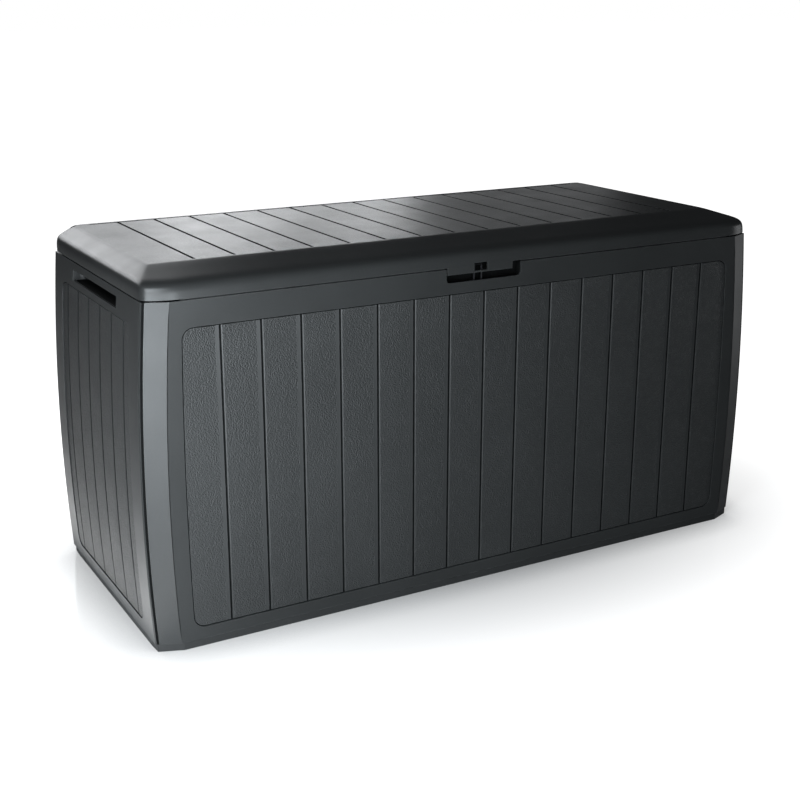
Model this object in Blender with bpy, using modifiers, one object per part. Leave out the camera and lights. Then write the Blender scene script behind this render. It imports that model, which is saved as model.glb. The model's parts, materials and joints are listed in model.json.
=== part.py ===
"""A deck storage box: five panels screwed together, and a boarded lid on four pin hinges.

The origin is on the floor under the middle of the box. X runs along the length, the front
faces -Y and Z is up. All sizes are in metres.
"""

import math

import bmesh
import bpy
from mathutils import Matrix, Vector

# The box as a whole
BOX_WIDTH = 1.160  # over the bowed ends, at the waist
BOX_DEPTH = 0.470
BOX_HEIGHT = 0.583
END_BOW = 0.015  # how far each end swells past its top edge
WAIST_HEIGHT = 0.229
WALL = 0.0035
GAP = 0.0003  # between pieces that rest on each other
CUT_PAST = 0.010  # how far a cutter runs past the surface it opens

# Corners in plan: a wide flat band that turns from the front to the end
BAND_WIDTH = 0.0385
BAND_DEPTH = 0.0145
END_FOLD_INSET = 0.040
END_FOLD_RISE = 0.0015
FLANGE_WIDTH = 0.036
FLANGE = 0.003

# Floor and plinth
PLINTH_HEIGHT = 0.012
PLINTH_INSET = 0.0015
CELL_DEPTH = 0.009
CELL_LENGTH = 0.1075
CELL_WIDTH = 0.106
RIB = 0.003
PAD_WIDTH = 0.090
PAD_DEPTH = 0.070
FOOT_FLANGE = 0.020

# Boarded fields on the panels
FIELD_RECESS = 0.0012
FIELD_FOOT = 0.032
FIELD_DROP = 0.040  # from the body's top edge
FIELD_CORNER = 0.018
FRONT_BOARDS = 16
FRONT_PITCH = 0.0647
END_GROOVES = 6
END_PITCH = 0.058
END_FIELD_HALF = 0.174
GROOVE_WIDTH = 0.005
GROOVE_DEPTH = 0.0014
BACKING_WIDTH = 0.009
BACKING_DEPTH = 0.0025

# Lid
LID_HEIGHT = 0.0365  # skirt foot to top
SKIRT_HEIGHT = 0.0195
SEAM_GAP = 0.0025
LID_END_SLOPE = 0.041
LID_FRONT_SLOPE = 0.086
LID_BACK_SLOPE = 0.002
LID_CORNER = 0.012
LID_GROOVE_WIDTH = 0.0045
LID_GROOVE_DEPTH = 0.002
LID_GROOVE_END = 0.007  # from the end of the grooves to the front slope
LID_CHANNEL_INSET = 0.007
LID_CHANNEL_END = 0.022
LID_RIB_DEPTH = 0.018
LID_CROSS_RIBS = 8
LID_LONG_RIBS = 3
RAIN_LIP = 0.003
RAIN_LIP_RISE = 0.0085
RAIN_LIP_PLAY = 0.0007
GUTTER_WIDTH = 0.016

# Hinges
HINGE_SPACING = 0.290
HINGE_COUNT = 4
AXIS_INSET = 0.008
AXIS_RISE = 0.011  # above the body's top edge
KNUCKLE_RADIUS = 0.008
KNUCKLE_WIDTH = 0.028
EAR_WIDTH = 0.014
SIDE_PLAY = 0.001
PIN_RADIUS = 0.003
PIN_PLAY = 0.0001
PIN_HEAD = 0.002
PIN_HEAD_PLAY = 0.0006  # to the lid's rear wall

# Padlock tab and its pocket
NOTCH_LEFT = -0.072
NOTCH_RIGHT = 0.070
NOTCH_DROP = 0.0225  # below the body's top edge
POCKET_DEPTH = 0.020
POCKET_WALL = 0.003
TAB_LEFT = -0.0695
TAB_RIGHT = 0.053
TAB_DROP = 0.012  # below the skirt foot
SLOT_CENTRE = -0.0075
SLOT_WIDTH = 0.026
SLOT_HEIGHT = 0.013
SLOT_LIP = 0.0025
STAPLE_WIRE = 0.002
STAPLE_SPAN = 0.014
STAPLE_SETBACK = 0.0105
STAPLE_TOP_DROP = 0.0015

# Hand grips in the ends
GRIP_LENGTH = 0.224
GRIP_HEIGHT = 0.018
GRIP_DROP = 0.0115  # from the body's top edge to the top of the slot
GRIP_DEPTH = 0.022
GRIP_WALL = 0.0025

# Screws
SCREW_RADIUS = 0.0018
SCREW_HOLE = 0.0021
SCREW_HEAD_RADIUS = 0.0042
SCREW_HEAD = 0.0024
CORNER_SCREW_LENGTH = 0.0085
FOOT_SCREW_LENGTH = 0.010
CORNER_SCREW_INSET = 0.030
CORNER_SCREW_HEIGHTS = (0.110, 0.430)
LONG_SCREW_PITCH = 0.416
END_SCREW_PITCH = 0.208

ROUND_SIDES = 16
SCREW_SIDES = 12
BOW_STEPS = (3, 4)  # below and above the waist

BODY_TOP = BOX_HEIGHT - LID_HEIGHT - SEAM_GAP
PANEL_FOOT = PLINTH_HEIGHT + GAP
HALF_DEPTH = BOX_DEPTH / 2
BAND_Y = HALF_DEPTH - BAND_DEPTH  # where the front meets the end
FOLD_Y = HALF_DEPTH - END_FOLD_INSET
END_X = BOX_WIDTH / 2 - END_BOW  # end face at the top edge
SKIRT_FOOT = BODY_TOP + SEAM_GAP
SKIRT_TOP = SKIRT_FOOT + SKIRT_HEIGHT
AXIS_Y = HALF_DEPTH - AXIS_INSET
AXIS_Z = BODY_TOP + AXIS_RISE
PIN_HEAD_RADIUS = AXIS_INSET - WALL - PIN_HEAD_PLAY
RAIN_LIP_TOP = BODY_TOP + RAIN_LIP_RISE


def clear_scene():
    for obj in list(bpy.data.objects):
        bpy.data.objects.remove(obj)


def collection(name):
    made = bpy.data.collections.new(name)
    bpy.context.scene.collection.children.link(made)
    return made


def plastic(name, colour, roughness, metallic=0.0):
    material = bpy.data.materials.new(name)
    material.use_nodes = True
    shader = material.node_tree.nodes["Principled BSDF"]
    shader.inputs["Base Color"].default_value = (*colour, 1.0)
    shader.inputs["Roughness"].default_value = roughness
    shader.inputs["Metallic"].default_value = metallic
    return material


def add_object(name, mesh, material=None, place=None):
    obj = bpy.data.objects.new(name, mesh)
    if material is None:
        cutters.objects.link(obj)
        obj.hide_render = True
        obj.display_type = "WIRE"
    else:
        parts.objects.link(obj)
        mesh.materials.append(material)
    if place is not None:
        obj.matrix_world = place
    return obj


def mesh_from(name, bm):
    bmesh.ops.recalc_face_normals(bm, faces=bm.faces)
    mesh = bpy.data.meshes.new(name)
    bm.to_mesh(mesh)
    bm.free()
    return mesh


def loft(bm, rings):
    """A closed solid through rings of equal length, capped at both ends."""
    rows = [[bm.verts.new(point) for point in ring] for ring in rings]
    for low, high in zip(rows, rows[1:]):
        for i in range(len(low)):
            j = (i + 1) % len(low)
            bm.faces.new((low[i], low[j], high[j], high[i]))
    bm.faces.new(list(reversed(rows[0])))
    bm.faces.new(rows[-1])


def loft_mesh(name, *solids):
    bm = bmesh.new()
    for rings in solids:
        loft(bm, rings)
    return mesh_from(name, bm)


def blocks(name, corners):
    """Separate cuboids in one mesh, each from its lowest and highest corner."""
    bm = bmesh.new()
    for low, high in corners:
        low, high = Vector(low), Vector(high)
        place = Matrix.Translation((low + high) / 2) @ Matrix.Diagonal((*(high - low), 1))
        bmesh.ops.create_cube(bm, size=1, matrix=place)
    return mesh_from(name, bm)


def rods(name, radius, spans, y, z):
    """Cylinders along X in one mesh, each from one x to another."""
    bm = bmesh.new()
    for left, right in spans:
        turn = Matrix.Rotation(math.pi / 2, 4, "Y")
        place = Matrix.Translation(((left + right) / 2, y, z)) @ turn
        bmesh.ops.create_cone(
            bm, cap_ends=True, segments=ROUND_SIDES, radius1=radius, radius2=radius,
            depth=right - left, matrix=place)
    return mesh_from(name, bm)


def knuckles(name, spans, far, rise):
    """Lugs along X with a rounded end about the hinge axis, reaching up (rise 1) or down (-1)."""
    turns = [math.pi * i / (ROUND_SIDES // 2) for i in range(ROUND_SIDES // 2 + 1)]
    arc = [(KNUCKLE_RADIUS * math.cos(a), -rise * KNUCKLE_RADIUS * math.sin(a)) for a in turns]
    outline = [(AXIS_Y + y, AXIS_Z + z) for y, z in arc]
    outline += [(AXIS_Y - KNUCKLE_RADIUS, far), (AXIS_Y + KNUCKLE_RADIUS, far)]
    solids = []
    for left, right in spans:
        solids.append([[(x, y, z) for y, z in outline] for x in (left, right)])
    return loft_mesh(name, *solids)


def upright_holes(name, radius, spots, low, high):
    bm = bmesh.new()
    for x, y in spots:
        place = Matrix.Translation((x, y, (low + high) / 2))
        bmesh.ops.create_cone(
            bm, cap_ends=True, segments=ROUND_SIDES, radius1=radius, radius2=radius,
            depth=high - low, matrix=place)
    return mesh_from(name, bm)


def level_holes(name, radius, spots, low, high):
    """Holes along Y at each (x, z)."""
    bm = bmesh.new()
    for x, z in spots:
        turn = Matrix.Rotation(math.pi / 2, 4, "X")
        place = Matrix.Translation((x, (low + high) / 2, z)) @ turn
        bmesh.ops.create_cone(
            bm, cap_ends=True, segments=ROUND_SIDES, radius1=radius, radius2=radius,
            depth=high - low, matrix=place)
    return mesh_from(name, bm)


def boolean(target, mesh, operation):
    tool = add_object(mesh.name, mesh)
    modifier = target.modifiers.new(mesh.name, "BOOLEAN")
    modifier.operation = operation
    modifier.solver = "EXACT"
    modifier.object = tool


def cut(target, mesh):
    boolean(target, mesh, "DIFFERENCE")


def join(target, mesh):
    boolean(target, mesh, "UNION")


def bow(z):
    """How far the ends swell at height z, past where they stand at the body's top edge."""
    if z >= BODY_TOP:
        return 0.0
    return END_BOW * (1 - ((z - WAIST_HEIGHT) / (BODY_TOP - WAIST_HEIGHT)) ** 2)


def levels(low, high):
    """Heights from low to high, with one at the waist."""
    below, above = BOW_STEPS
    made = [low + (WAIST_HEIGHT - low) * i / below for i in range(below)]
    return made + [WAIST_HEIGHT + (high - WAIST_HEIGHT) * i / above for i in range(above + 1)]


def plan(z):
    """The outline of the box in plan at height z, anticlockwise from the front left fold."""
    end = END_X + bow(z)
    corner = end - END_FOLD_RISE
    quarter = [(corner - BAND_WIDTH, HALF_DEPTH), (corner, BAND_Y), (end, FOLD_Y)]
    front = [(-x, -y) for x, y in reversed(quarter)] + [(x, -y) for x, y in quarter]
    return front + [(-x, -y) for x, y in front]


def inset(outline, distance):
    """A convex anticlockwise outline moved inwards."""
    edges = []
    for i, (x, y) in enumerate(outline):
        nx, ny = outline[(i + 1) % len(outline)]
        length = math.hypot(nx - x, ny - y)
        normal = ((ny - y) / length, -(nx - x) / length)
        edges.append((normal, normal[0] * x + normal[1] * y - distance))
    moved = []
    for i, ((c, d), q) in enumerate(edges):
        (a, b), p = edges[i - 1]
        det = a * d - b * c
        moved.append(((p * d - b * q) / det, (a * q - p * c) / det))
    return moved


def at_height(outline, z):
    return [(x, y, z) for x, y in outline]


def side_section(z, side):
    """Plan of the front (side -1) or back (side 1) panel at height z: a channel with flanges."""
    corner = END_X + bow(z) - END_FOLD_RISE
    slope = BAND_DEPTH / BAND_WIDTH
    slant = WALL * math.hypot(1, slope)
    inner_y = HALF_DEPTH - WALL
    flange_y = BAND_Y + FLANGE
    inner_x = corner - (inner_y - BAND_Y + slant) / slope
    wedge_x = corner - (flange_y - BAND_Y + slant) / slope
    half = [
        (corner - BAND_WIDTH, HALF_DEPTH), (corner, BAND_Y), (corner - FLANGE_WIDTH, BAND_Y),
        (corner - FLANGE_WIDTH, flange_y), (wedge_x, flange_y), (inner_x, inner_y)]
    ring = half + [(-x, y) for x, y in reversed(half)]
    return [(x, side * y, z) for x, y in ring]


def end_section(z, side):
    """Plan of the left (side -1) or right (side 1) end panel at height z."""
    end = END_X + bow(z)
    corner = end - END_FOLD_RISE
    edge = BAND_Y - GAP
    half = [
        (end, FOLD_Y), (corner, edge), (corner - FLANGE_WIDTH, edge),
        (corner - FLANGE_WIDTH, edge - FLANGE), (corner - WALL, edge - FLANGE)]
    ring = half + [(x, -y) for x, y in reversed(half)]
    return [(side * x, y, z) for x, y in ring]


def field_levels(low, high):
    """Heights for a field with rounded corners, each with how far its sides draw in there."""
    turns = [math.pi / 2 * i / 4 for i in range(4)]
    foot = [
        (low + FIELD_CORNER * (1 - math.cos(a)), FIELD_CORNER * (1 - math.sin(a))) for a in turns]
    middle = [(z, 0.0) for z in levels(low + FIELD_CORNER, high - FIELD_CORNER)]
    head = [(low + high - z, draw) for z, draw in reversed(foot)]
    return foot + middle + head


def side_field(side):
    """The recess that the boards of the front or back lie in."""
    near, far = HALF_DEPTH + CUT_PAST, HALF_DEPTH - FIELD_RECESS
    half = FRONT_PITCH * FRONT_BOARDS / 2 - FIELD_CORNER / 4
    rings = []
    for z, draw in field_levels(FIELD_FOOT, BODY_TOP - FIELD_DROP):
        x = half + bow(z) / 2 - draw
        rings.append([
            (-x, side * far, z), (x, side * far, z), (x, side * near, z), (-x, side * near, z)])
    return rings


def end_field(side):
    rings = []
    for z, draw in field_levels(FIELD_FOOT, BODY_TOP - FIELD_DROP):
        y = END_FIELD_HALF - draw
        face = END_X + bow(z)
        near, far = side * (face + CUT_PAST), side * (face - FIELD_RECESS)
        rings.append([(far, -y, z), (far, y, z), (near, y, z), (near, -y, z)])
    return rings


def groove_places(count, pitch):
    return [pitch * (i - (count - 1) / 2) for i in range(count)]


def side_blocks(name, side, corners):
    """Cuboids given by x, distance from the middle in y, and z, on the front or back."""
    made = []
    for (x0, y0, z0), (x1, y1, z1) in corners:
        made.append(((x0, min(side * y0, side * y1), z0), (x1, max(side * y0, side * y1), z1)))
    return blocks(name, made)


def side_panel(name, side):
    """The front or back wall, with its boards, backing ribs and foot flange."""
    rings = [side_section(z, side) for z in levels(PANEL_FOOT, BODY_TOP)]
    panel = add_object(name, loft_mesh(name, rings), shell_plastic)
    face = HALF_DEPTH - FIELD_RECESS
    inner = HALF_DEPTH - WALL
    top = BODY_TOP - FIELD_DROP
    grooves = groove_places(FRONT_BOARDS - 1, FRONT_PITCH)
    reach = END_X - BAND_WIDTH - FLANGE_WIDTH / 2
    backing = [
        ((x - BACKING_WIDTH / 2, inner - BACKING_DEPTH, FIELD_FOOT),
         (x + BACKING_WIDTH / 2, inner + WALL / 4, top)) for x in grooves]
    foot = [
        ((-reach, inner - FOOT_FLANGE, PANEL_FOOT), (reach, inner + WALL / 4, PANEL_FOOT + FLANGE))]
    lines = [
        ((x - GROOVE_WIDTH / 2, face - GROOVE_DEPTH, FIELD_FOOT),
         (x + GROOVE_WIDTH / 2, face + CUT_PAST, top)) for x in grooves]
    join(panel, side_blocks(f"{name}_backing", side, backing))
    join(panel, side_blocks(f"{name}_foot", side, foot))
    cut(panel, loft_mesh(f"{name}_field", side_field(side)))
    cut(panel, side_blocks(f"{name}_grooves", side, lines))
    cut(panel, foot_holes(name, long_screw_spots(side)))
    spots = [(s * corner_screw_x(z), z) for s in (-1, 1) for z in CORNER_SCREW_HEIGHTS]
    middle = side * (BAND_Y + FLANGE / 2)
    cut(panel, level_holes(
        f"{name}_corner_holes", SCREW_HOLE, spots, middle - FLANGE, middle + FLANGE))
    return panel


def foot_holes(name, spots):
    """Clearance holes through a panel's foot flange."""
    return upright_holes(
        f"{name}_foot_holes", SCREW_HOLE, spots, PANEL_FOOT - CUT_PAST, PANEL_FOOT + CUT_PAST)


def corner_screw_x(z):
    return END_X + bow(z) - END_FOLD_RISE - CORNER_SCREW_INSET


def long_screw_spots(side):
    y = side * (HALF_DEPTH - WALL - FOOT_FLANGE / 2)
    return [(x, y) for x in groove_places(3, LONG_SCREW_PITCH)]


def end_screw_spots(side):
    x = side * (END_X + bow(PANEL_FOOT) - END_FOLD_RISE - WALL - FOOT_FLANGE / 2)
    return [(x, y) for y in groove_places(2, END_SCREW_PITCH)]


def rain_lip_front(panel):
    """The strip that stands up inside the lid's front skirt, and the padlock pocket across it."""
    outer = HALF_DEPTH - WALL - RAIN_LIP_PLAY
    inner = outer - RAIN_LIP
    reach = END_X - BAND_WIDTH - FLANGE_WIDTH / 2
    foot = BODY_TOP - RAIN_LIP_RISE
    join(panel, side_blocks("front_lip_step", -1, [
        ((-reach, inner, foot), (reach, HALF_DEPTH - WALL / 2, BODY_TOP - GAP))]))
    join(panel, side_blocks("front_lip", -1, [
        ((-reach, inner, foot + GAP), (reach, outer, RAIN_LIP_TOP))]))
    back = HALF_DEPTH - POCKET_DEPTH
    floor = BODY_TOP - NOTCH_DROP
    left, right = NOTCH_LEFT - POCKET_WALL, NOTCH_RIGHT + POCKET_WALL
    join(panel, side_blocks("pocket_body", -1, [
        ((left, back - POCKET_WALL, floor - POCKET_WALL),
         (right, HALF_DEPTH - WALL / 2, BODY_TOP - 2 * GAP))]))
    join(panel, side_blocks("pocket_lip", -1, [
        ((left, back - POCKET_WALL, floor), (right, outer - GAP / 2, RAIN_LIP_TOP - GAP / 2))]))
    cut(panel, side_blocks("pocket_hollow", -1, [
        ((NOTCH_LEFT, back, floor),
         (NOTCH_RIGHT, HALF_DEPTH + CUT_PAST, RAIN_LIP_TOP + CUT_PAST))]))
    spots = [(x, -(HALF_DEPTH - STAPLE_SETBACK)) for x in staple_legs()]
    cut(panel, upright_holes(
        "staple_holes", STAPLE_WIRE + GAP, spots, floor - 2 * POCKET_WALL, floor + POCKET_WALL))


def staple_legs():
    return (SLOT_CENTRE - STAPLE_SPAN / 2, SLOT_CENTRE + STAPLE_SPAN / 2)


def hinge_places():
    return groove_places(HINGE_COUNT, HINGE_SPACING)


def hinge_knuckles(panel):
    """The rain gutter behind the lid's rear edge, and the knuckles that stand in it."""
    inner = HALF_DEPTH - WALL
    lip = inner - GUTTER_WIDTH
    reach = END_X - BAND_WIDTH - FLANGE_WIDTH / 2
    bed = BODY_TOP - FLANGE - WALL / 2
    join(panel, side_blocks("gutter_bed", 1, [
        ((-reach, lip, bed), (reach, inner + WALL / 2, bed + FLANGE))]))
    join(panel, side_blocks("gutter_lip", 1, [
        ((-reach, lip - RAIN_LIP / 2, bed - GAP), (reach, lip + RAIN_LIP / 2, RAIN_LIP_TOP))]))
    spans = [(x - KNUCKLE_WIDTH / 2, x + KNUCKLE_WIDTH / 2) for x in hinge_places()]
    join(panel, knuckles("knuckle_lugs", spans, bed + FLANGE / 2, -1))
    through = [(left - EAR_WIDTH / 2, right + EAR_WIDTH / 2) for left, right in spans]
    cut(panel, rods("knuckle_holes", PIN_RADIUS + PIN_PLAY, through, AXIS_Y, AXIS_Z))


def end_panel(name, side):
    """A bowed end wall with its boards, hand grip and rain lip."""
    rings = [end_section(z, side) for z in levels(PANEL_FOOT, BODY_TOP)]
    panel = add_object(name, loft_mesh(name, rings), shell_plastic)
    add_end_foot(panel, name, side)
    add_end_lip(panel, name, side)
    cut(panel, loft_mesh(f"{name}_field", end_field(side)))
    top = BODY_TOP - FIELD_DROP
    lines = []
    for y in groove_places(END_GROOVES, END_PITCH):
        rings = []
        for z in levels(FIELD_FOOT, top):
            face = END_X + bow(z)
            near, far = side * (face + CUT_PAST), side * (face - FIELD_RECESS - GROOVE_DEPTH)
            low, high = y - GROOVE_WIDTH / 2, y + GROOVE_WIDTH / 2
            rings.append([(far, low, z), (far, high, z), (near, high, z), (near, low, z)])
        lines.append(rings)
    cut(panel, loft_mesh(f"{name}_grooves", *lines))
    add_grip(panel, name, side)
    for y_side in (-1, 1):
        spots = [(side * corner_screw_x(z), z) for z in CORNER_SCREW_HEIGHTS]
        middle = y_side * (BAND_Y - GAP - FLANGE / 2)
        label = "front" if y_side < 0 else "back"
        cut(panel, level_holes(
            f"{name}_{label}_holes", SCREW_HOLE, spots, middle - FLANGE, middle + FLANGE))
    cut(panel, foot_holes(name, end_screw_spots(side)))
    return panel


def end_block(name, side, x0, x1, half_y, z0, z1):
    low, high = sorted((side * x0, side * x1))
    return blocks(name, [((low, -half_y, z0), (high, half_y, z1))])


def add_end_foot(panel, name, side):
    inner = END_X + bow(PANEL_FOOT) - END_FOLD_RISE - WALL
    join(panel, end_block(
        f"{name}_foot", side, inner - FOOT_FLANGE, inner + WALL / 4, FOLD_Y - FOOT_FLANGE / 2,
        PANEL_FOOT, PANEL_FOOT + FLANGE))


def add_end_lip(panel, name, side):
    outer = END_X - WALL - RAIN_LIP_PLAY
    inner = outer - RAIN_LIP
    foot = BODY_TOP - RAIN_LIP_RISE
    half = FOLD_Y - GAP
    join(panel, end_block(
        f"{name}_lip_step", side, inner, END_X - WALL / 2, half, foot, BODY_TOP - GAP))
    join(panel, end_block(f"{name}_lip", side, inner, outer, half, foot + GAP, RAIN_LIP_TOP))


def add_grip(panel, name, side):
    """The finger slot and the closed pocket behind it."""
    top = BODY_TOP - GRIP_DROP
    foot = top - GRIP_HEIGHT
    face = END_X + bow(foot)
    back = face - WALL - GRIP_DEPTH
    half = GRIP_LENGTH / 2
    join(panel, end_block(
        f"{name}_grip_body", side, back - GRIP_WALL, END_X - WALL / 2, half + GRIP_WALL,
        foot - GRIP_WALL, top + GRIP_WALL))
    cut(panel, end_block(f"{name}_grip_hollow", side, back, face + CUT_PAST, half, foot, top))


def floor_panel():
    """The floor: a deck on a rim and a grid of ribs, with flat pads to stand on."""
    outline = inset(plan(0.0), PLINTH_INSET)
    floor = add_object("floor_panel", loft_mesh(
        "floor_panel", [at_height(outline, 0.0), at_height(outline, PLINTH_HEIGHT)]), base_plastic)
    across = int((BOX_WIDTH - 2 * END_BOW - 2 * FOOT_FLANGE) / CELL_LENGTH)
    along = int((BOX_DEPTH - 2 * FOOT_FLANGE) / CELL_WIDTH)
    half_x = (CELL_LENGTH - RIB) / 2
    half_y = (CELL_WIDTH - RIB) / 2
    cells = []
    for x in groove_places(across, CELL_LENGTH):
        for y in groove_places(along, CELL_WIDTH):
            cells.append((
                (x - half_x, y - half_y, -CUT_PAST), (x + half_x, y + half_y, CELL_DEPTH)))
    cut(floor, blocks("floor_cells", cells))
    join(floor, blocks("floor_pads", [
        ((x - PAD_WIDTH / 2, y - PAD_DEPTH / 2, 0.0),
         (x + PAD_WIDTH / 2, y + PAD_DEPTH / 2, CELL_DEPTH + RIB / 2))
        for x, y in pad_spots(across, along)]))
    spots = []
    for side in (-1, 1):
        spots += long_screw_spots(side) + end_screw_spots(side)
    cut(floor, upright_holes(
        "floor_screw_holes", SCREW_HOLE, spots, CELL_DEPTH / 2, PLINTH_HEIGHT + CUT_PAST))
    return floor


def pad_spots(across, along):
    """The middle of the floor, and the corner cells."""
    x = CELL_LENGTH * (across - 1) / 2
    y = CELL_WIDTH * (along - 1) / 2
    return [(0.0, 0.0)] + [(sx * x, sy * y) for sx in (-1, 1) for sy in (-1, 1)]


def lid_top_outline(inwards=0.0):
    """The flat top in plan, with the same number of points as plan()."""
    x = END_X - LID_END_SLOPE - inwards
    front = -(HALF_DEPTH - LID_FRONT_SLOPE - inwards)
    back = HALF_DEPTH - LID_BACK_SLOPE - inwards
    cut_off = LID_CORNER
    small = LID_CORNER / 4
    return [
        (-x, front + cut_off), (-x + small, front + small), (-x + cut_off, front),
        (x - cut_off, front), (x - small, front + small), (x, front + cut_off),
        (x, back - cut_off), (x - small, back - small), (x - cut_off, back),
        (-x + cut_off, back), (-x + small, back - small), (-x, back - cut_off)]


def lid_shell():
    """The lid: a skirt, four slopes and a boarded flat top, hollow underneath."""
    outer = plan(BODY_TOP)
    inner = inset(outer, WALL)
    rings = [
        at_height(lid_top_outline(), BOX_HEIGHT), at_height(outer, SKIRT_TOP),
        at_height(outer, SKIRT_FOOT),
        at_height(inner, SKIRT_FOOT), at_height(inner, SKIRT_TOP - WALL),
        at_height(lid_top_outline(WALL / 2), BOX_HEIGHT - WALL)]
    lid = add_object("lid_shell", loft_mesh("lid_shell", rings), lid_plastic)
    add_lid_ribs(lid)
    cut_lid_grooves(lid)
    add_tab(lid)
    add_rest_blocks(lid)
    add_hinge_ears(lid)
    return lid


def add_lid_ribs(lid):
    foot = BOX_HEIGHT - WALL - LID_RIB_DEPTH
    top = BOX_HEIGHT - WALL / 2
    x_half = END_X - LID_END_SLOPE - WALL
    front = -(HALF_DEPTH - LID_FRONT_SLOPE - WALL)
    back = HALF_DEPTH - WALL / 2 - LID_BACK_SLOPE
    pitch = (back - front) / (LID_LONG_RIBS + 1)
    long_ribs = []
    for i in range(LID_LONG_RIBS):
        y = front + pitch * (i + 1)
        long_ribs.append(((-x_half, y - RIB / 2, foot + GAP), (x_half, y + RIB / 2, top - GAP)))
    cross_pitch = HINGE_SPACING / 2
    cross_ribs = [
        ((x - RIB / 2, front, foot), (x + RIB / 2, back, top))
        for x in groove_places(LID_CROSS_RIBS, cross_pitch)]
    join(lid, blocks("lid_long_ribs", long_ribs))
    join(lid, blocks("lid_cross_ribs", cross_ribs))


def cut_lid_grooves(lid):
    """Grooves between the boards, and the channel along the rear that they run into."""
    front = -(HALF_DEPTH - LID_FRONT_SLOPE) + LID_GROOVE_END
    channel = HALF_DEPTH - LID_BACK_SLOPE - LID_CHANNEL_INSET
    foot = BOX_HEIGHT - LID_GROOVE_DEPTH
    half = LID_GROOVE_WIDTH / 2
    lines = [
        ((x - half, front, foot), (x + half, channel, BOX_HEIGHT + CUT_PAST))
        for x in groove_places(FRONT_BOARDS - 1, FRONT_PITCH)]
    end = END_X - LID_END_SLOPE - LID_CHANNEL_END
    cut(lid, blocks("lid_grooves", lines))
    cut(lid, blocks("lid_channel", [
        ((-end, channel - half, foot), (end, channel + half, BOX_HEIGHT + CUT_PAST))]))


def add_tab(lid):
    """The padlock tab that hangs from the front skirt, with its slot."""
    foot = SKIRT_FOOT - TAB_DROP
    join(lid, side_blocks("tab_plate", -1, [
        ((TAB_LEFT, HALF_DEPTH - WALL, foot), (TAB_RIGHT, HALF_DEPTH, SKIRT_FOOT + WALL))]))
    low = foot + SLOT_LIP
    cut(lid, side_blocks("tab_slot", -1, [
        ((SLOT_CENTRE - SLOT_WIDTH / 2, HALF_DEPTH - 2 * WALL, low),
         (SLOT_CENTRE + SLOT_WIDTH / 2, HALF_DEPTH + CUT_PAST, low + SLOT_HEIGHT))]))


def add_rest_blocks(lid):
    """Small blocks inside the skirt that land on the rain lip when the lid is shut."""
    foot = RAIN_LIP_TOP + GAP
    rise = SKIRT_TOP - WALL / 2
    half = 2 * RIB
    front_in = HALF_DEPTH - WALL - RAIN_LIP - 2 * RIB
    rests = [
        ((x - half, front_in, foot), (x + half, HALF_DEPTH - WALL / 2, rise))
        for x in groove_places(4, HINGE_SPACING)]
    join(lid, side_blocks("front_rests", -1, rests))
    end_in = END_X - WALL - RAIN_LIP - RIB
    for side, label in ((-1, "left"), (1, "right")):
        join(lid, end_block(
            f"{label}_rest", side, end_in, END_X - WALL / 2, half, foot, rise))


def add_hinge_ears(lid):
    """The rear edge is raised clear of the body, and two ears stand beside each knuckle."""
    clear = AXIS_Z - KNUCKLE_RADIUS / 2 - GAP
    back = HALF_DEPTH + CUT_PAST
    front = AXIS_Y - 2 * KNUCKLE_RADIUS
    below = SKIRT_FOOT - CUT_PAST
    reach = END_X + CUT_PAST
    cut(lid, blocks("rear_clearance", [((-reach, front, below), (reach, back, clear))]))
    slot_half = KNUCKLE_WIDTH / 2 + SIDE_PLAY
    slot_top = AXIS_Z + KNUCKLE_RADIUS + 2 * SIDE_PLAY
    cut(lid, blocks("knuckle_slots", [
        ((x - slot_half, front, below), (x + slot_half, back, slot_top))
        for x in hinge_places()]))
    spans = []
    for x in hinge_places():
        for side in (-1, 1):
            near, far = x + side * slot_half, x + side * (slot_half + EAR_WIDTH)
            spans.append((min(near, far), max(near, far)))
    join(lid, knuckles("lid_ears", spans, BOX_HEIGHT - WALL / 2, 1))
    through = [(left - SIDE_PLAY / 2, right + SIDE_PLAY / 2) for left, right in spans]
    cut(lid, rods("ear_holes", PIN_RADIUS + PIN_PLAY, through, AXIS_Y, AXIS_Z))


def turned(name, profile, material, place, sides=ROUND_SIDES):
    """A solid of revolution about Z. The profile runs down its outer side."""
    mesh = bpy.data.meshes.new(name)
    points = [(radius, 0.0, z) for radius, z in profile]
    mesh.from_pydata(points, [(i, i + 1) for i in range(len(points) - 1)], [])
    obj = add_object(name, mesh, material, place)
    screw = obj.modifiers.new("turn", "SCREW")
    screw.steps = screw.render_steps = sides
    screw.use_merge_vertices = True
    screw.merge_threshold = 0.00001
    screw.use_smooth_shade = True
    return obj


def screw_at(name, point, direction, length):
    """A pan head screw whose head rests at a point, with its shank along a direction."""
    profile = [
        (0.0, SCREW_HEAD), (SCREW_HEAD_RADIUS * 0.75, SCREW_HEAD * 0.85),
        (SCREW_HEAD_RADIUS, SCREW_HEAD * 0.35), (SCREW_HEAD_RADIUS, 0.0), (SCREW_RADIUS, 0.0),
        (SCREW_RADIUS, SCREW_RADIUS - length), (0.0, -length)]
    turn = Vector((0, 0, -1)).rotation_difference(Vector(direction)).to_matrix().to_4x4()
    return turned(name, profile, steel, Matrix.Translation(point) @ turn, SCREW_SIDES)


def corner_screws():
    count = 0
    for side_x in (-1, 1):
        for side_y in (-1, 1):
            for z in CORNER_SCREW_HEIGHTS:
                count += 1
                y = side_y * (BAND_Y - 2 * GAP - FLANGE)
                point = (side_x * corner_screw_x(z), y, z)
                screw_at(f"corner_screw_{count}", point, (0, side_y, 0), CORNER_SCREW_LENGTH)


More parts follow.
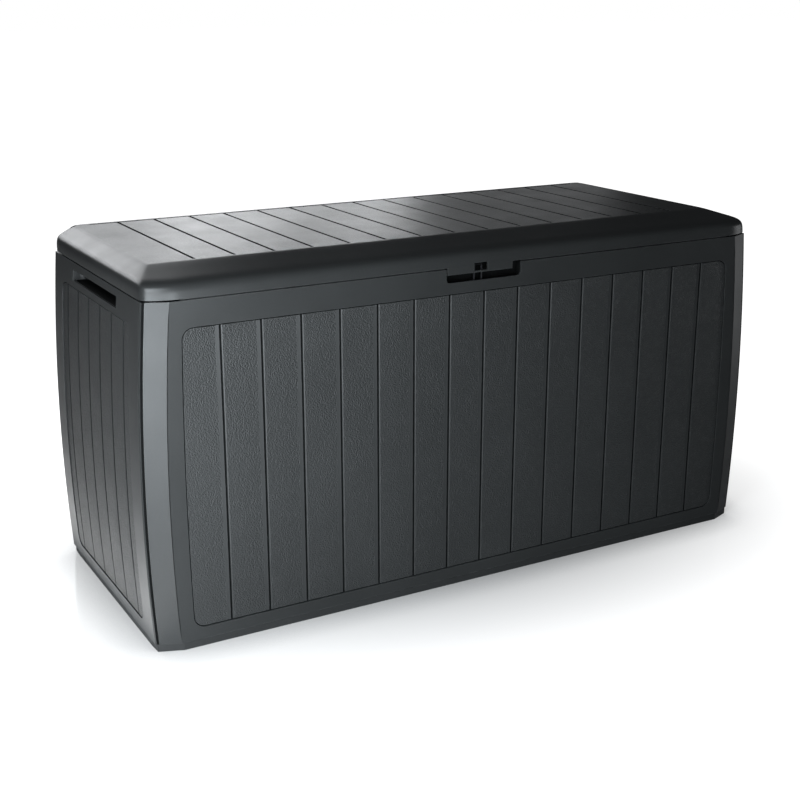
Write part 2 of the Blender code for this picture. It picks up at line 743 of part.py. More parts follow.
def floor_screws():
    spots = []
    for side in (-1, 1):
        spots += long_screw_spots(side) + end_screw_spots(side)
    seat = PANEL_FOOT + FLANGE + GAP
    for number, (x, y) in enumerate(spots, 1):
        screw_at(f"floor_screw_{number}", (x, y, seat), (0, 0, -1), FOOT_SCREW_LENGTH)


def hinge_pins():
    reach = KNUCKLE_WIDTH / 2 + SIDE_PLAY + EAR_WIDTH
    seat, head, tip = reach + GAP, reach + GAP + PIN_HEAD, -reach - PIN_HEAD
    profile = [
        (0.0, head), (PIN_HEAD_RADIUS, head), (PIN_HEAD_RADIUS, seat), (PIN_RADIUS, seat),
        (PIN_RADIUS, tip + PIN_RADIUS / 3), (PIN_RADIUS * 2 / 3, tip), (0.0, tip)]
    turn = Matrix.Rotation(math.pi / 2, 4, "Y")
    for number, x in enumerate(hinge_places(), 1):
        place = Matrix.Translation((x, AXIS_Y, AXIS_Z)) @ turn
        turned(f"hinge_pin_{number}", profile, steel, place)


def lock_staple():
    """A steel wire bail whose legs pass through the pocket floor, behind the tab's slot."""
    curve = bpy.data.curves.new("lock_staple", "CURVE")
    curve.dimensions = "3D"
    curve.bevel_depth = STAPLE_WIRE
    curve.bevel_resolution = 2
    curve.use_fill_caps = True
    y = -(HALF_DEPTH - STAPLE_SETBACK)
    slot_top = SKIRT_FOOT - TAB_DROP + SLOT_LIP + SLOT_HEIGHT
    top = slot_top - STAPLE_TOP_DROP - STAPLE_WIRE
    foot = BODY_TOP - NOTCH_DROP - POCKET_WALL - 2 * STAPLE_WIRE
    left, right = staple_legs()
    bend = STAPLE_SPAN / 3
    points = [(left, y, foot)]
    for i in range(5):
        turn = math.pi / 2 * i / 4
        points.append((left + bend * (1 - math.cos(turn)), y, top - bend * (1 - math.sin(turn))))
    points += [(left + right - x, y, z) for x, y, z in reversed(points)]
    spline = curve.splines.new("POLY")
    spline.points.add(len(points) - 1)
    for target, point in zip(spline.points, points):
        target.co = (*point, 1.0)
    obj = bpy.data.objects.new("lock_staple", curve)
    curve.materials.append(steel)
    parts.objects.link(obj)
    return obj


clear_scene()
parts = collection("deck_storage_box")
cutters = collection("cutters")
shell_plastic = plastic("panel_anthracite", (0.035, 0.040, 0.042), 0.45)
lid_plastic = plastic("lid_anthracite", (0.038, 0.043, 0.045), 0.40)
base_plastic = plastic("base_anthracite", (0.030, 0.034, 0.036), 0.55)
steel = plastic("zinc_steel", (0.62, 0.63, 0.64), 0.35, 1.0)

floor_panel()
front = side_panel("front_panel", -1)
rain_lip_front(front)
back = side_panel("back_panel", 1)
hinge_knuckles(back)
end_panel("left_end_panel", -1)
end_panel("right_end_panel", 1)
lid_shell()
corner_screws()
floor_screws()
hinge_pins()
lock_staple()
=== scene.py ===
import json
import math

import bmesh
import bpy
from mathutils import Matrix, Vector

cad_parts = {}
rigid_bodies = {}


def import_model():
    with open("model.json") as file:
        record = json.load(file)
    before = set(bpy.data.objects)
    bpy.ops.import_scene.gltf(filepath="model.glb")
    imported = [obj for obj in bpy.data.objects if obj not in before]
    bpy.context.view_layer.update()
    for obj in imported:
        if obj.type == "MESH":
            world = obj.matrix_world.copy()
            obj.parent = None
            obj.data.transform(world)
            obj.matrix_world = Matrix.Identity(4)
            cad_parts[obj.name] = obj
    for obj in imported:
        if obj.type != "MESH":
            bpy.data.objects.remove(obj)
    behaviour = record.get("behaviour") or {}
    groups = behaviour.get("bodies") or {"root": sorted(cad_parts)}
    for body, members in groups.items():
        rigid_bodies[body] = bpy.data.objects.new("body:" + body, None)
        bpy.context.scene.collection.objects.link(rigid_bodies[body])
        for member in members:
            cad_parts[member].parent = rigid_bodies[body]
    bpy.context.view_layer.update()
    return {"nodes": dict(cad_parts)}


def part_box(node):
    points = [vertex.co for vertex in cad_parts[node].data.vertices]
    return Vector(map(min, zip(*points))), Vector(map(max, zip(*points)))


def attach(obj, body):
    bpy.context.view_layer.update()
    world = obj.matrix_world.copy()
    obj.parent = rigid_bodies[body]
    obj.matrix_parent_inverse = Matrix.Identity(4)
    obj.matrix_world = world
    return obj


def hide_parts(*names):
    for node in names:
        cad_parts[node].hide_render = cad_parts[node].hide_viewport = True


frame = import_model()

bpy.ops.object.select_all(action="DESELECT")
for extra in [o for o in bpy.data.objects if o.name in ("Cube", "Light", "Camera")]:
    bpy.data.objects.remove(extra)

# The sizes that every piece shares, in metres
body = {
    "halfDepth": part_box("back_panel")[1].y,
    "waistX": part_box("right_end_panel")[1].x,
    "lidTop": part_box("lid_shell")[1].z,
    "bow": 0.015,           # how far the ends swell past their top edge
    "waist": 0.229,         # height of the widest point
    "top": 0.544,
    "foot": 0.0131,
    "bandWidth": 0.0385,    # the flat band across each corner
    "bandDepth": 0.0145,
    "endFoldInset": 0.040,
    "endFoldRise": 0.0015,
    "flangeWidth": 0.036,
    "wall": 0.0035,
    "pitch": 0.0647,        # one board of the front, the back and the lid
    "grooves": 15,
    "seam": 0.0040,
    "fieldFoot": 0.032,
    "fieldTop": 0.504,
    "fieldDepth": 0.0013,
    "fieldCorner": 0.018,
    "fieldHalf": 0.5100,
    "rows": 20,             # how finely the bow is cut
    "cornerEdge": 0.0012,   # the band's own thickness where it meets the end wall
    "foldRound": 0.0035,
    "footReach": 0.020,     # flange that stands on the floor panel
    "footThick": 0.003,
}
endX = body["waistX"] - body["bow"]
bandY = body["halfDepth"] - body["bandDepth"]
cornerX = endX - body["endFoldRise"]


# ---- modelling helpers

def bowAt(z):
    if z >= body["top"]:
        return 0.0
    return body["bow"] * (1 - ((z - body["waist"]) / (body["top"] - body["waist"])) ** 2)


def only(obj):
    if bpy.context.mode != "OBJECT":
        bpy.ops.object.mode_set(mode="OBJECT")
    bpy.ops.object.select_all(action="DESELECT")
    obj.select_set(True)
    bpy.context.view_layer.objects.active = obj


def edit(obj):
    only(obj)
    bpy.ops.object.mode_set(mode="EDIT")


def done():
    bpy.ops.object.mode_set(mode="OBJECT")


def pickVerts(obj, test):
    bpy.ops.mesh.select_mode(type="VERT")
    bm = bmesh.from_edit_mesh(obj.data)
    for face in bm.faces:
        face.select = False
    for edge in bm.edges:
        edge.select = False
    for vert in bm.verts:
        vert.select = bool(test(vert.co))
    bm.select_flush(True)
    bmesh.update_edit_mesh(obj.data)
    return any(vert.select for vert in bm.verts)


def pickEdges(obj, test):
    bpy.ops.mesh.select_mode(type="EDGE")
    bm = bmesh.from_edit_mesh(obj.data)
    for part in (bm.faces, bm.edges, bm.verts):
        for item in part:
            item.select = False
    for edge in bm.edges:
        a, b = (vert.co for vert in edge.verts)
        if test(a, b):
            edge.select_set(True)
    bmesh.update_edit_mesh(obj.data)
    return any(edge.select for edge in bm.edges)


def pickFaces(obj, test):
    bpy.ops.mesh.select_mode(type="FACE")
    bm = bmesh.from_edit_mesh(obj.data)
    for part in (bm.faces, bm.edges, bm.verts):
        for item in part:
            item.select = False
    for face in bm.faces:
        if test(face.calc_center_median(), face.normal):
            face.select_set(True)
    bmesh.update_edit_mesh(obj.data)
    return any(face.select for face in bm.faces)


def shift(x=0.0, y=0.0, z=0.0):
    bpy.ops.transform.translate(value=(x, y, z))


def near(a, b, within=1e-5):
    return abs(a - b) < within


def addBox(name, low, high):
    low, high = Vector(low), Vector(high)
    only(next(iter(bpy.context.scene.objects)))
    bpy.ops.object.select_all(action="DESELECT")
    bpy.ops.mesh.primitive_cube_add(size=1, location=(low + high) / 2, scale=high - low)
    obj = bpy.context.object
    obj.name = name
    bpy.ops.object.transform_apply(location=True, rotation=True, scale=True)
    return obj


def addRod(name, radius, left, right, y, z, sides=32):
    bpy.ops.object.select_all(action="DESELECT")
    bpy.ops.mesh.primitive_cylinder_add(
        vertices=sides, radius=radius, depth=right - left,
        location=((left + right) / 2, y, z), rotation=(0, math.pi / 2, 0))
    obj = bpy.context.object
    obj.name = name
    bpy.ops.object.transform_apply(location=True, rotation=True, scale=True)
    return obj


def cutAcross(obj, axis, places):
    # Cuts right across the open mesh at each place along an axis
    normal = Vector([1.0 if i == "xyz".index(axis) else 0.0 for i in range(3)])
    for place in places:
        bpy.ops.mesh.select_all(action="SELECT")
        bpy.ops.mesh.bisect(plane_co=normal * place, plane_no=normal)


def bowOut(obj, sideOf, share=1.0):
    # Moves each row outwards along X by the bow at its height. sideOf gives -1, 0 or 1 for a point.
    bm = bmesh.from_edit_mesh(obj.data)
    rows = []
    for z in sorted(vert.co.z for vert in bm.verts):
        if rows and z < rows[-1][1] + 2e-5:
            rows[-1][1] = z
        else:
            rows.append([z, z])
    for low, high in rows:
        amount = bowAt(low) * share
        for side in (-1, 1):
            if pickVerts(obj, lambda co: low - 1e-6 < co.z < high + 1e-6 and sideOf(co) == side):
                shift(x=side * amount)


def cutWith(obj, tool, operation="DIFFERENCE"):
    only(obj)
    modifier = obj.modifiers.new(tool.name, "BOOLEAN")
    modifier.operation = operation
    modifier.solver = "MANIFOLD"
    modifier.object = tool
    bpy.ops.object.modifier_apply(modifier=modifier.name)
    bpy.data.objects.remove(tool)


def fuse(obj, tool):
    cutWith(obj, tool, "UNION")


def repeat(obj, count, step):
    only(obj)
    modifier = obj.modifiers.new("repeat", "ARRAY")
    modifier.count = count
    modifier.use_relative_offset = False
    modifier.use_constant_offset = True
    modifier.constant_offset_displace = step
    bpy.ops.object.modifier_apply(modifier=modifier.name)


def halfTurn(obj):
    edit(obj)
    bpy.ops.mesh.select_all(action="SELECT")
    bpy.ops.transform.rotate(value=math.pi, orient_axis="Z", center_override=(0, 0, 0))
    done()


def rowsBetween(low, high, count):
    return [low + (high - low) * i / count for i in range(1, count)]


def finishPiece(obj, bodyName, slotName, *nodes, angle=32):
    only(obj)
    bpy.ops.object.shade_smooth_by_angle(angle=math.radians(angle))
    even = obj.modifiers.new("even", "WEIGHTED_NORMAL")    # keeps the big flat faces looking flat
    even.keep_sharp = True
    even.weight = 80
    bpy.ops.object.modifier_apply(modifier=even.name)
    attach(obj, bodyName)
    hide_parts(*nodes)
    print("built", obj.name, len(obj.data.polygons), "faces")


# ---- finishes

finish = {
    "colour": (0.0205, 0.0214, 0.0214),
    "boardColour": (0.0215, 0.0224, 0.0224),
    "lidColour": (0.0220, 0.0228, 0.0228),
    "baseColour": (0.0170, 0.0177, 0.0178),
    "frameRoughness": 0.40,
    "boardRoughness": 0.46,
    "lidRoughness": 0.34,
    "specular": 0.42,
    "paintedShadeColour": (0.0030, 0.0033, 0.0034),    # painted shade for the bottoms of grooves, where no light gets in
    "grainSize": 0.0022,     # metres across one pebble of the grain
    "grainHeight": 0.00078,
    "orangePeel": 0.00003,   # the faint unevenness of moulded plastic
}


class Tree:
    # A material's node tree, with short calls for adding and joining nodes
    def __init__(self, name):
        self.material = bpy.data.materials.new(name)
        self.material.use_nodes = True
        self.nodes = self.material.node_tree.nodes
        self.shader = self.nodes["Principled BSDF"]
        self.spot = -300

    def add(self, kind, **settings):
        node = self.nodes.new(kind)
        node.location = (self.spot, len(self.nodes) * -60 + 300)
        self.spot -= 60
        for key, value in settings.items():
            setattr(node, key, value)
        return node

    def join(self, source, target):
        self.material.node_tree.links.new(source, target)

    def noise(self, place, scale, detail=3.0, roughness=0.5):
        node = self.add("ShaderNodeTexNoise")
        node.inputs["Scale"].default_value = scale
        node.inputs["Detail"].default_value = detail
        node.inputs["Roughness"].default_value = roughness
        self.join(place, node.inputs["Vector"])
        return node.outputs["Fac"]

    def ramp(self, source, low, high, fromLow=0.0, fromHigh=1.0):
        node = self.add("ShaderNodeMapRange")
        node.inputs["From Min"].default_value = fromLow
        node.inputs["From Max"].default_value = fromHigh
        node.inputs["To Min"].default_value = low
        node.inputs["To Max"].default_value = high
        self.join(source, node.inputs["Value"])
        return node.outputs["Result"]

    def maths(self, operation, first, second):
        node = self.add("ShaderNodeMath", operation=operation)
        for source, socket in zip((first, second), node.inputs):
            if isinstance(source, (int, float)):
                socket.default_value = source
            else:
                self.join(source, socket)
        return node.outputs["Value"]


def plastic(name, colour, roughness, grain=0.0, peel=1.0):
    tree = Tree(name)
    place = tree.add("ShaderNodeTexCoord").outputs["Object"]
    # Colour drifts a little across the moulding, and rounded edges go paler, partly as scuffing and
    # partly as a painted highlight
    drift = tree.noise(place, 3.5, 4.0)
    fleck = tree.noise(place, 420.0, 2.0)
    tint = tree.ramp(drift, 0.86, 1.14, 0.25, 0.75)
    tint = tree.maths("MULTIPLY", tint, tree.ramp(fleck, 0.95, 1.05, 0.3, 0.7))
    rounded = tree.add("ShaderNodeBevel", samples=4)
    rounded.inputs["Radius"].default_value = 0.0011
    flat = tree.add("ShaderNodeNewGeometry")
    facing = tree.add("ShaderNodeVectorMath", operation="DOT_PRODUCT")
    tree.join(rounded.outputs["Normal"], facing.inputs[0])
    tree.join(flat.outputs["Normal"], facing.inputs[1])
    wearAndHighlight = tree.ramp(facing.outputs["Value"], 0.0, 0.8, 0.985, 0.88)
    wearAndHighlight = tree.maths("MULTIPLY", wearAndHighlight, tree.ramp(tree.noise(place, 60.0), 0.2, 1.0, 0.35, 0.65))
    base = tree.add("ShaderNodeVectorMath", operation="SCALE")
    base.inputs[0].default_value = colour
    tree.join(tint, base.inputs["Scale"])
    # The paler edge colour stands partly for wear and partly for a painted highlight
    wornAndHighlit = tree.add("ShaderNodeMix", data_type="RGBA")
    wornAndHighlit.inputs["B"].default_value = (colour[0] * 4.2, colour[1] * 4.2, colour[2] * 4.2, 1)
    tree.join(wearAndHighlight, wornAndHighlit.inputs["Factor"])
    tree.join(base.outputs["Vector"], wornAndHighlit.inputs["A"])
    tree.join(wornAndHighlit.outputs["Result"], tree.shader.inputs["Base Color"])
    # Sheen varies where the mould was polished unevenly
    uneven = tree.noise(place, 14.0, 5.0, 0.6)
    sheen = tree.ramp(uneven, roughness - 0.035, roughness + 0.045, 0.25, 0.75)
    height = None
    if grain:
        warp = tree.add("ShaderNodeTexNoise")
        warp.inputs["Scale"].default_value = 0.55 / finish["grainSize"]
        tree.join(place, warp.inputs["Vector"])
        moved = tree.add("ShaderNodeVectorMath", operation="MULTIPLY_ADD")
        tree.join(warp.outputs["Color"], moved.inputs[0])
        moved.inputs[1].default_value = (finish["grainSize"] * 0.9,) * 3
        tree.join(place, moved.inputs[2])
        pebble = tree.add("ShaderNodeTexVoronoi", feature="SMOOTH_F1")
        pebble.inputs["Scale"].default_value = 1 / finish["grainSize"]
        pebble.inputs["Smoothness"].default_value = 0.35
        tree.join(moved.outputs["Vector"], pebble.inputs["Vector"])
        domes = tree.ramp(pebble.outputs["Distance"], 1.0, 0.0, 0.05, 0.75)
        blotch = tree.ramp(tree.noise(place, 0.22 / finish["grainSize"], 2.0), 0.55, 1.0, 0.35, 0.65)
        height = tree.maths("MULTIPLY", domes, blotch)
        sheen = tree.maths("ADD", sheen, tree.ramp(domes, 0.05, -0.03))
        bump = tree.add("ShaderNodeBump")
        bump.inputs["Strength"].default_value = 1.0
        bump.inputs["Distance"].default_value = finish["grainHeight"] * grain
        tree.join(height, bump.inputs["Height"])
    ripple = tree.noise(place, 180.0, 3.0)
    skin = tree.add("ShaderNodeBump")
    skin.inputs["Strength"].default_value = 1.0
    skin.inputs["Distance"].default_value = finish["orangePeel"] * peel
    tree.join(ripple, skin.inputs["Height"])
    if height is not None:
        tree.join(bump.outputs["Normal"], skin.inputs["Normal"])
    tree.join(skin.outputs["Normal"], tree.shader.inputs["Normal"])
    tree.join(sheen, tree.shader.inputs["Roughness"])
    tree.shader.inputs["Specular IOR Level"].default_value = finish["specular"]
    return tree.material


def platedSteel(name, dark, pale, smooth, rough):
    tree = Tree(name)
    place = tree.add("ShaderNodeTexCoord").outputs["Object"]
    cloud = tree.noise(place, 260.0, 4.0)
    mottle = tree.add("ShaderNodeMix", data_type="RGBA")
    mottle.inputs["A"].default_value = (*dark, 1)
    mottle.inputs["B"].default_value = (*pale, 1)
    tree.join(cloud, mottle.inputs["Factor"])
    tree.join(mottle.outputs["Result"], tree.shader.inputs["Base Color"])
    tree.shader.inputs["Metallic"].default_value = 1.0
    tree.join(tree.ramp(tree.noise(place, 900.0), smooth, rough), tree.shader.inputs["Roughness"])
    bump = tree.add("ShaderNodeBump")
    bump.inputs["Distance"].default_value = 0.00004
    tree.join(tree.noise(place, 1500.0), bump.inputs["Height"])
    tree.join(bump.outputs["Normal"], tree.shader.inputs["Normal"])
    return tree.material


framePlastic = plastic("frame_plastic", finish["colour"], finish["frameRoughness"])
boardPlastic = plastic("board_plastic", finish["boardColour"], finish["boardRoughness"], grain=1.0)
lidPlastic = plastic("lid_plastic", finish["lidColour"], finish["lidRoughness"])
lidBoardPlastic = plastic("lid_board_plastic", finish["lidColour"], finish["lidRoughness"], grain=0.22)
# A near-black plastic with little shine, painted where shade falls: groove bottoms, seams and pockets
paintedShadePlastic = plastic("crevice_plastic", finish["paintedShadeColour"], 0.75, peel=0.5)
paintedShadePlastic.node_tree.nodes["Principled BSDF"].inputs["Specular IOR Level"].default_value = 0.08
basePlastic = plastic("base_plastic", finish["baseColour"], 0.5, peel=2.0)
steel = platedSteel("zinc_steel", (0.46, 0.47, 0.48), (0.66, 0.67, 0.68), 0.22, 0.42)
darkSteel = platedSteel("dark_steel", (0.012, 0.012, 0.013), (0.030, 0.030, 0.032), 0.5, 0.7)
print("made the finishes")


def paint(obj, plain, *others):
    # others are pairs of a material and a test that picks its faces
    obj.data.materials.clear()
    obj.data.materials.append(plain)
    for number, (material, test) in enumerate(others, 1):
        obj.data.materials.append(material)
        edit(obj)
        if pickFaces(obj, test):
            obj.active_material_index = number
            bpy.ops.object.material_slot_assign()
        done()


# ---- front and back walls

groove = {
    # depth under the boards, and how far the groove reaches to the left and to the right there
    "wallProfile": ((-0.0015, 0.0025, 0.0048), (0.0, 0.0019, 0.0032), (0.0004, 0.0018, 0.0026),
                    (0.0006, 0.0017, 0.0017), (0.0009, 0.0014, 0.0014), (0.0024, 0.0013, 0.0013)),
    "rampFar": -0.0080,     # the dip beside a groove: its reach, and its depth at each side
    "rampNear": -0.0012,
    "rampDeep": 0.0010,
    "rampShallow": 0.0001,
    "endProfile": ((-0.0015, 0.0060, 0.0060), (0.0, 0.0036, 0.0036), (0.0005, 0.0021, 0.0021),
                   (0.0008, 0.0017, 0.0017), (0.0016, 0.0014, 0.0014)),
    "shoulder": 0.0007,     # what lies deeper than this is painted dark, as shade
    "moat": 0.0021,         # the thin groove round a field
    "moatDepth": 0.0028,
    "endGap": 0.0016,       # between a groove's end and the edge of the field
    "deepest": 0.0027,
    "backingWidth": 0.009,  # ribs on the inside that back the grooves
    "backingDepth": 0.0025,
}


def grooveTool(name, profile, surface, low, high):
    # One stepped channel along Z that cuts into a face looking along -Y
    tool = addBox(name, (-1, surface + profile[0][0], low), (1, surface + profile[-1][0], high))
    edit(tool)
    cutAcross(tool, "y", [surface + row[0] for row in profile[1:-1]])
    for depth, left, right in profile:
        pickVerts(tool, lambda co: near(co.y, surface + depth))
        bpy.ops.transform.resize(value=((left + right) / 2, 1, 1), center_override=(0, surface, 0))
        shift(x=(right - left) / 2)
    done()
    return tool


def fieldTool(name, half, face, surface, shrink=0.0, slope=0.0):
    # A plate in the field's outline, from face back to surface. It can taper towards surface.
    middle = (body["fieldFoot"] + body["fieldTop"]) / 2
    high = (body["fieldTop"] - body["fieldFoot"]) / 2
    tool = addBox(name, (-half + shrink, face, middle - high + shrink),
                  (half - shrink, surface, middle + high - shrink))
    edit(tool)
    pickEdges(tool, lambda a, b: near(a.x, b.x) and near(a.z, b.z))
    bpy.ops.mesh.bevel(offset=body["fieldCorner"] - shrink, segments=8)
    cutAcross(tool, "z", rowsBetween(body["fieldFoot"] + 0.03, body["fieldTop"] - 0.03, body["rows"]))
    if slope:
        pickVerts(tool, lambda co: near(co.y, surface))
        bpy.ops.transform.resize(
            value=((half - slope) / half, 1, (high - slope) / high), center_override=(0, 0, middle))
    return tool


def sinkField(obj, half, front, turn, sideOf, share):
    # A moat all round, cut to its full depth, with the boards put back inside it
    floor = groove["moatDepth"] - front
    moat = fieldTool("moat", half, -front - 0.010, floor)
    island = fieldTool("island", half, body["fieldDepth"] - front, floor + 0.0003, groove["moat"])
    for tool in (moat, island):
        edit(tool)
        if turn:
            quarterTurn(tool)
        bowOut(tool, sideOf, share)
        done()
    cutWith(obj, moat)
    fuse(obj, island)


def boardWall(name):
    # A wall as it stands at the front: bowed ends, a band across each corner, boards in a sunk field
    depth, wall, fold = body["halfDepth"], body["wall"], cornerX - body["bandWidth"]
    flange = cornerX - body["flangeWidth"]
    obj = addBox(name, (-cornerX, -depth, body["foot"]), (cornerX, wall - depth, body["top"]))
    edit(obj)
    cutAcross(obj, "x", (-fold, fold, -flange, flange))
    cutAcross(obj, "z", rowsBetween(body["foot"], body["top"], body["rows"]))
    pickFaces(obj, lambda c, n: n.y > 0.9 and abs(c.x) > flange)
    bpy.ops.mesh.extrude_region_move(
        TRANSFORM_OT_translate={"value": (0, body["bandDepth"] - wall, 0)})
    edge = body["cornerEdge"]
    pickVerts(obj, lambda co: abs(co.x) > cornerX - 1e-4 and near(co.y, -depth))
    shift(y=body["bandDepth"] - edge)
    pickVerts(obj, lambda co: abs(co.x) > cornerX - 1e-4 and near(co.y, wall - depth))
    shift(y=body["bandDepth"] - edge - wall)
    bpy.ops.mesh.select_all(action="SELECT")
    bpy.ops.mesh.remove_doubles(threshold=1e-5)
    for side in (-1, 1):
        pickVerts(obj, lambda co: co.x * side > cornerX - 1e-4)
        shift(x=-side * body["seam"])    # leaves the seam between the walls open
    pickEdges(obj, lambda a, b: near(abs(a.x), fold) and near(a.x, b.x) and near(a.y, -depth)
              and near(b.y, -depth))
    bpy.ops.mesh.bevel(offset=body["foldRound"], segments=3)
    bowOut(obj, lambda co: 0 if abs(co.x) < fold - 0.01 else (1 if co.x > 0 else -1))
    done()
    surface = body["fieldDepth"] - depth
    low, high = body["fieldFoot"], body["fieldTop"]
    first = -7 * body["pitch"]    # the groove furthest to the left
    backing = groove["backingWidth"] / 2
    ribs = addBox("ribs", (first - backing, wall - depth - 0.001, low),
                  (first + backing, wall - depth + groove["backingDepth"], high))
    repeat(ribs, body["grooves"], (body["pitch"], 0, 0))
    fuse(obj, ribs)
    reach = flange - body["flangeWidth"] / 2
    foot = addBox("foot", (-reach, wall - depth - 0.001, body["foot"]),
                  (reach, wall - depth + body["footReach"], body["foot"] + body["footThick"]))
    fuse(obj, foot)
    # The field's short sides follow half of the bow
    sinkField(obj, body["fieldHalf"], depth, False,
              lambda co: 1 if co.x > 0.3 else (-1 if co.x < -0.3 else 0), 0.5)
    start, end = low + groove["endGap"], high - groove["endGap"]
    line = grooveTool("line", groove["wallProfile"], surface, start, end)
    edit(line)
    bpy.ops.mesh.select_all(action="SELECT")
    shift(x=first)
    done()
    repeat(line, body["grooves"], (body["pitch"], 0, 0))
    cutWith(obj, line)
    # Beside each groove the board dips and slopes back up to it
    deepest = surface + groove["rampDeep"]
    dip = addBox("dip", (groove["rampFar"], surface - 0.001, start + 0.0004),
                 (groove["rampNear"], deepest, end - 0.0004))
    edit(dip)
    pickVerts(dip, lambda co: near(co.x, groove["rampNear"]) and near(co.y, deepest))
    shift(y=groove["rampShallow"] - groove["rampDeep"])
    bpy.ops.mesh.select_all(action="SELECT")
    shift(x=first)
    done()
    repeat(dip, body["grooves"], (body["pitch"], 0, 0))
    cutWith(obj, dip)
    return obj


def paintWall(obj, side):
    # side is -1 at the front and 1 at the back
    surface = body["halfDepth"] - body["fieldDepth"]
    bottom = surface - groove["shoulder"]

    def inField(c):
        inHeight = body["fieldFoot"] - 1e-4 < c.z < body["fieldTop"] + 1e-4
        return inHeight and abs(c.x) < body["fieldHalf"] + 0.012

    def isBoard(c, n):
        return n.y * side > 0.98 and near(c.y * side, surface, 1e-4)

    def inNotch(c):
        behind = body["wall"] + 0.0006 < c.y + body["halfDepth"] < 0.03
        return behind and c.z > body["top"] - latch["notchDrop"] - 0.002 and abs(c.x + 0.001) < 0.073

    def isSunk(c):
        return inField(c) and surface - groove["deepest"] < c.y * side < bottom

    # The faces in the seams at the corners take painted shade
    def inSeamShade(c, n):
        return abs(c.x) > cornerX - 0.0055 and abs(n.x) > 0.7 and c.y * side < bandY

    # Sunk faces in the field, the corner seams and, at the front, the notch's inside are painted near
    # black as shade
    def inPaintedShade(c, n):
        return isSunk(c) or inSeamShade(c, n) or side < 0 and inNotch(c)

    paint(obj, framePlastic, (boardPlastic, isBoard), (paintedShadePlastic, inPaintedShade))


latch = {
    "notchLeft": -0.072, "notchRight": 0.070, "notchDrop": 0.0225, "notchCorner": 0.007,
    "pocketDepth": 0.020, "pocketWall": 0.003, "undercut": 0.0012,
    "lipTop": 0.5525, "lipFoot": 0.5355, "lip": 0.003, "lipPlay": 0.0007,    # rain lip
}


def frontWall():
    obj = boardWall("front_wall")
    depth, wall, top = body["halfDepth"], body["wall"], body["top"]
    reach = cornerX - 1.5 * body["flangeWidth"]
    outer = depth - wall - latch["lipPlay"]
    inner = latch["lip"] - outer
    step = addBox("step", (-reach, -depth + wall / 2, latch["lipFoot"]), (reach, inner, top - 0.0004))
    fuse(obj, step)
    lip = addBox("lip", (-reach, -outer, latch["lipFoot"] + 0.0004), (reach, inner, latch["lipTop"]))
    fuse(obj, lip)
    back = depth - latch["pocketDepth"]
    floor = top - latch["notchDrop"]
    side = latch["pocketWall"]
    pocket = addBox("pocket", (latch["notchLeft"] - side, -depth + wall / 2, floor - side),
                    (latch["notchRight"] + side, side - back, top - 0.0008))
    fuse(obj, pocket)
    rim = addBox("rim", (latch["notchLeft"] - side, 0.0002 - outer, floor),
                 (latch["notchRight"] + side, side - back, latch["lipTop"] - 0.0002))
    fuse(obj, rim)
    notch = addBox("notch", (latch["notchLeft"], -depth - 0.01, floor),
                   (latch["notchRight"], -back, latch["lipTop"] + 0.01))
    edit(notch)
    pickEdges(notch, lambda a, b: near(a.x, b.x) and near(a.z, b.z) and near(a.z, floor))
    bpy.ops.mesh.bevel(offset=latch["notchCorner"], segments=6)
    done()
    cutWith(obj, notch)
    more = latch["undercut"]
    cutWith(obj, addBox("hollow", (latch["notchLeft"] - more, wall + 0.0005 - depth, floor - more),
                        (latch["notchRight"] + more, 0.0003 - back, latch["lipTop"] + 0.01)))
    paintWall(obj, -1)
    finishPiece(obj, "box", "panel_plastic", "front_panel")


hinge = {
    "places": (-0.435, -0.145, 0.145, 0.435), "axisY": 0.227, "axisZ": 0.555, "radius": 0.008,
    "width": 0.028, "pin": 0.0031, "ear": 0.014, "play": 0.001, "gutter": 0.016,
}


def lug(name, left, right, far, rise):
    # A block with a round end about the hinge line. rise is 1 where it reaches up from the line.
    y, z, r = hinge["axisY"], hinge["axisZ"], hinge["radius"]
    low, high = sorted((z - rise * r, far))
    obj = addBox(name, (left, y - r, low), (right, y + r, high))
    edit(obj)
    pickEdges(obj, lambda a, b: near(a.y, b.y) and near(a.z, b.z) and near(a.z, z - rise * r))
    bpy.ops.mesh.bevel(offset=r * 0.9999, segments=8)
    done()
    return obj


def backWall():
    obj = boardWall("back_wall")
    halfTurn(obj)
    depth, wall, top = body["halfDepth"], body["wall"], body["top"]
    inner = depth - wall
    lip = inner - hinge["gutter"]
    bed = top - 0.003 - wall / 2
    reach = cornerX - 1.5 * body["flangeWidth"]
    fuse(obj, addBox("bed", (-reach, lip, bed), (reach, inner + wall / 2, bed + 0.003)))
    fuse(obj, addBox("gutter", (-reach, lip - 0.0015, bed - 0.0003),
                     (reach, lip + 0.0015, latch["lipTop"])))
    for x in hinge["places"]:
        half = hinge["width"] / 2
        fuse(obj, lug("knuckle", x - half, x + half, bed + 0.0015, -1))
        bore = addRod("bore", hinge["pin"], x - half - 0.005, x + half + 0.005,
                      hinge["axisY"], hinge["axisZ"])
        cutWith(obj, bore)
    paintWall(obj, 1)
    finishPiece(obj, "box", "panel_plastic", "back_panel")


# ---- end walls

endWall = {
    "grooves": 6, "pitch": 0.058, "fieldHalf": 0.174, "gripLength": 0.224, "gripHeight": 0.018,
    "gripDrop": 0.0115, "gripDepth": 0.022, "gripWall": 0.0025, "gripRound": 0.015,
}


def quarterTurn(obj):
    # From facing -Y to facing -X
    bpy.ops.mesh.select_all(action="SELECT")
    bpy.ops.transform.rotate(value=math.pi / 2, orient_axis="Z", center_override=(0, 0, 0))
    bm = bmesh.from_edit_mesh(obj.data)
    lowest = min(vert.co.x for vert in bm.verts)
    highest = max(vert.co.x for vert in bm.verts)
    if highest > -lowest:
        bpy.ops.transform.rotate(value=math.pi, orient_axis="Z", center_override=(0, 0, 0))


